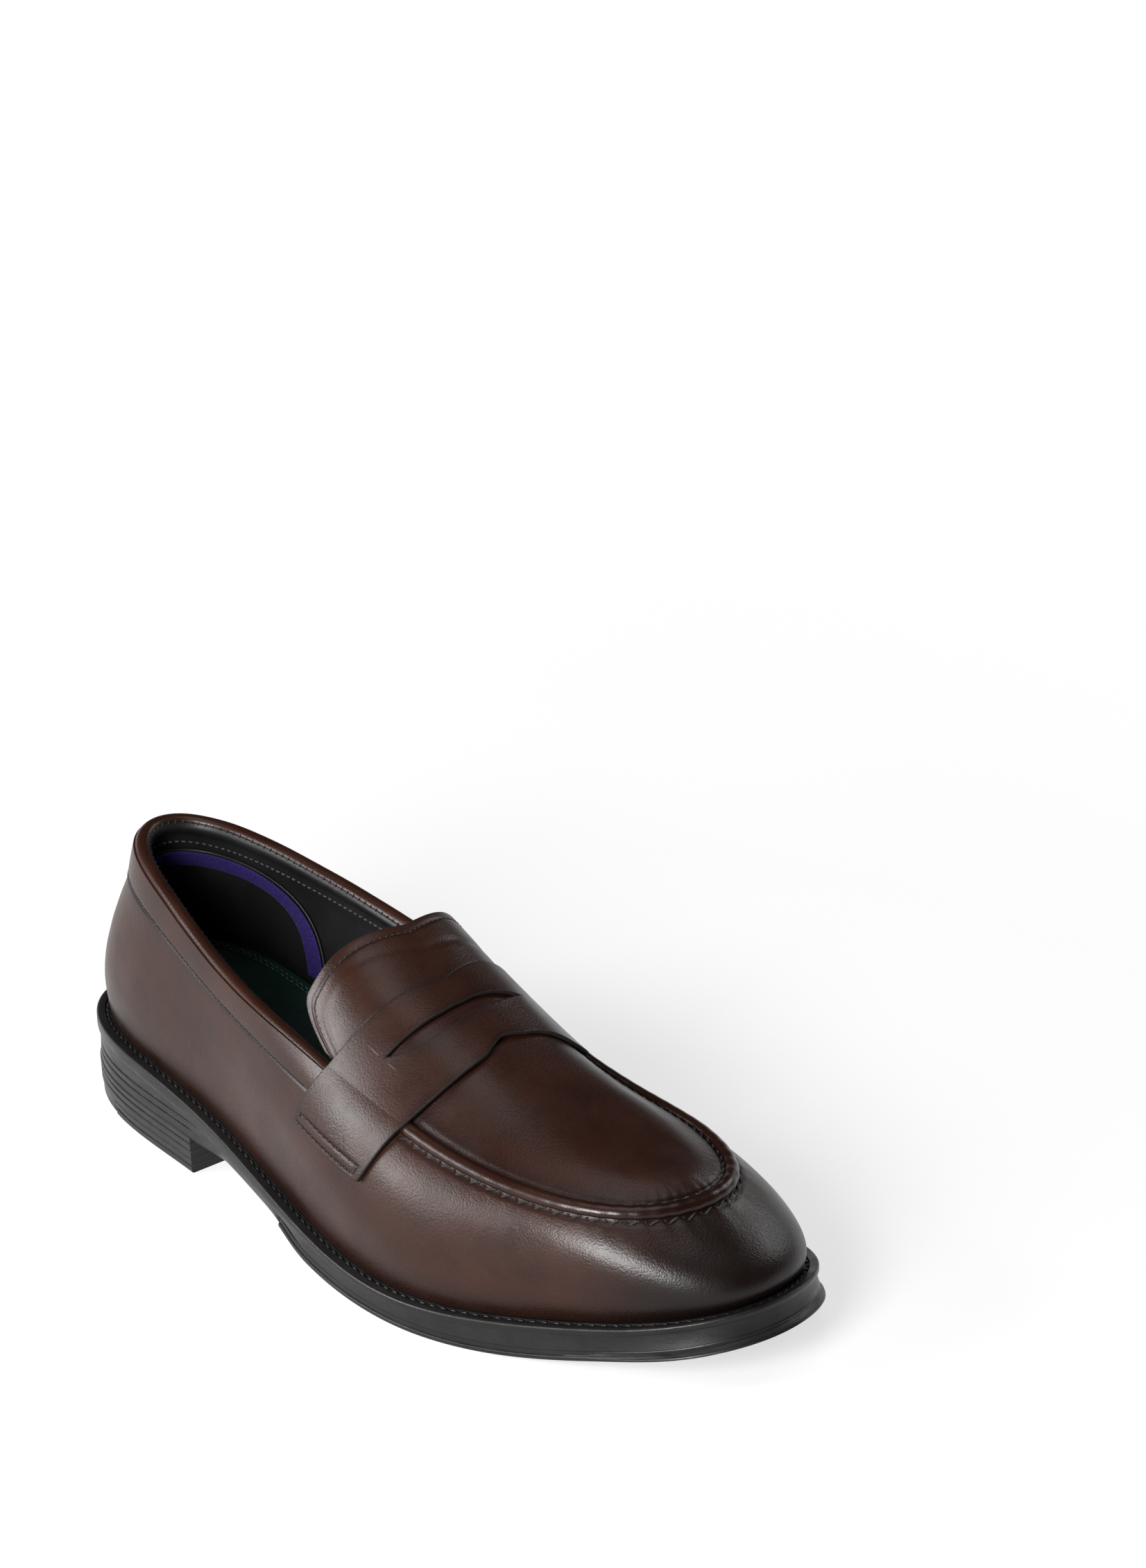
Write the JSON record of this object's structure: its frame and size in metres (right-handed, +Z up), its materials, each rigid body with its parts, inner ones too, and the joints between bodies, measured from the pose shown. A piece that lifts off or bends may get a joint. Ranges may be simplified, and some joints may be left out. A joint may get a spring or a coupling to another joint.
{
  "type": "penny loafer",
  "caption": "Men's right-foot penny loafer: brown moccasin-style upper with slotted strap and apron ridge, black lining, green sock and black rubber sole with low stacked heel.",
  "frame": {"origin": "middle of the footprint's bounding box, on the floor the heel and the tread stand on", "axes": "+X towards the toe, +Y towards the medial (inner) side of this right shoe, +Z up"},
  "size_m": [0.3, 0.1081, 0.0947],
  "materials": {
    "apron": "semi-gloss, fine pebble grain",
    "apron_inner_thread": "waxed thread",
    "apron_lining": "matte, smooth",
    "apron_outer_thread": "waxed thread",
    "apron_ridge": "semi-gloss, fine pebble grain",
    "collar_band": "semi-gloss, fine pebble grain",
    "collar_padding": "soft foam",
    "collar_thread": "waxed thread",
    "cork_filler": "ground cork",
    "footbed_cushion": "foam, matte",
    "forefoot_tread": "satin",
    "heel_block": "satin",
    "heel_counter": "pressed fibre board",
    "heel_pocket_lining": "matte, smooth",
    "heel_ribbon": "woven grosgrain",
    "heel_top_piece": "matte",
    "insole_board": "pressed fibre board",
    "outsole": "satin",
    "penny_strap": "semi-gloss, fine pebble grain",
    "quarter_lining": "matte, smooth",
    "side_wall": "semi-gloss, fine pebble grain",
    "sock_liner": "satin",
    "sock_thread": "waxed thread",
    "steel_shank": "plain strip",
    "strap_stitch_lateral": "waxed thread",
    "strap_stitch_medial": "waxed thread",
    "toe_puff": "resin-stiffened cloth",
    "tongue": "semi-gloss, fine pebble grain",
    "tongue_lining": "matte, smooth",
    "tongue_thread": "waxed thread",
    "vamp_lining": "matte, smooth",
    "welt": "satin",
    "welt_thread": "waxed thread"
  },
  "bodies": {
    "shoe": {"apron": "apron", "apron_inner_thread": "apron_inner_thread", "apron_lining": "apron_lining", "apron_outer_thread": "apron_outer_thread", "apron_ridge": "apron_ridge", "collar_band": "collar_band", "collar_padding": "collar_padding", "collar_thread": "collar_thread", "cork_filler": "cork_filler", "footbed_cushion": "footbed_cushion", "forefoot_tread": "forefoot_tread", "heel_block": "heel_block", "heel_counter": "heel_counter", "heel_pocket_lining": "heel_pocket_lining", "heel_ribbon": "heel_ribbon", "heel_top_piece": "heel_top_piece", "insole_board": "insole_board", "outsole": "outsole", "penny_strap": "penny_strap", "quarter_lining": "quarter_lining", "side_wall": "side_wall", "sock_liner": "sock_liner", "sock_thread": "sock_thread", "steel_shank": "steel_shank", "strap_stitch_lateral": "strap_stitch_lateral", "strap_stitch_medial": "strap_stitch_medial", "toe_puff": "toe_puff", "vamp_lining": "vamp_lining", "welt": "welt", "welt_thread": "welt_thread"},
    "tongue": {"tongue": "tongue", "tongue_lining": "tongue_lining", "tongue_thread": "tongue_thread"}
  },
  "joints": [
    {"name": "tongue_lift", "type": "hinge", "parent": "shoe", "child": "tongue", "pos_m": [0.0145, 0.0012, 0.082], "axis": [0, 1, 0], "range_deg": [0, 25], "stiffness_Nm_per_rad": 0.05}
  ]
}
